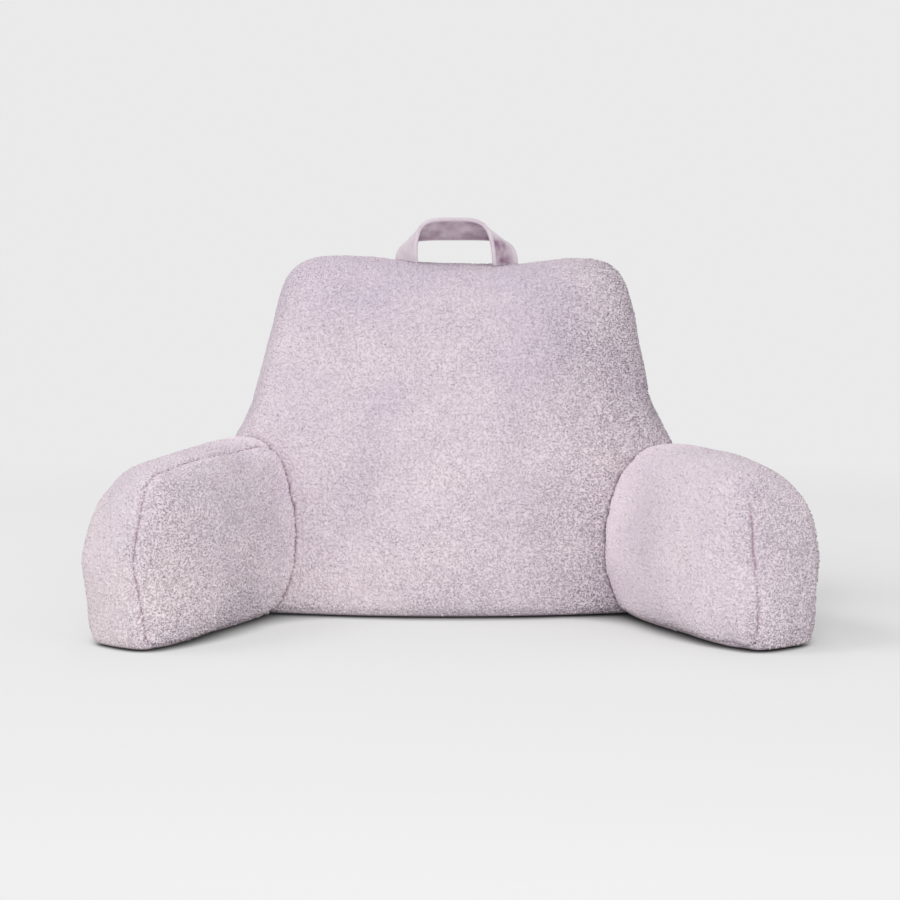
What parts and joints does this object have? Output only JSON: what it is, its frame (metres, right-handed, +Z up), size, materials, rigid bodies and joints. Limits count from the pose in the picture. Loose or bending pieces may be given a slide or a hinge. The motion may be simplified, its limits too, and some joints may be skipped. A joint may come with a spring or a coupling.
{
  "type": "reading pillow",
  "caption": "Reading pillow with a tall leaning back cushion, two splayed arm cushions and a carry strap arched over the top, covered in curly fleece.",
  "frame": {"origin": "middle of the bounding box's bottom, on the surface the pillow rests on, under the front of the back cushion", "axes": "+X to the right across the pillow as seen from in front, +Y from the lap space towards the rear of the back cushion, +Z up"},
  "size_m": [0.7735, 0.4581, 0.4346],
  "materials": {
    "back_fleece": "curly lilac fleece, matt",
    "arm_left_fleece": "curly lilac fleece, matt",
    "arm_right_fleece": "curly lilac fleece, matt",
    "strap_plush": "short smooth plush, soft sheen"
  },
  "bodies": {
    "root": {"back": "back_fleece", "arm_left": "arm_left_fleece", "arm_right": "arm_right_fleece", "handle": "strap_plush"}
  },
  "joints": []
}
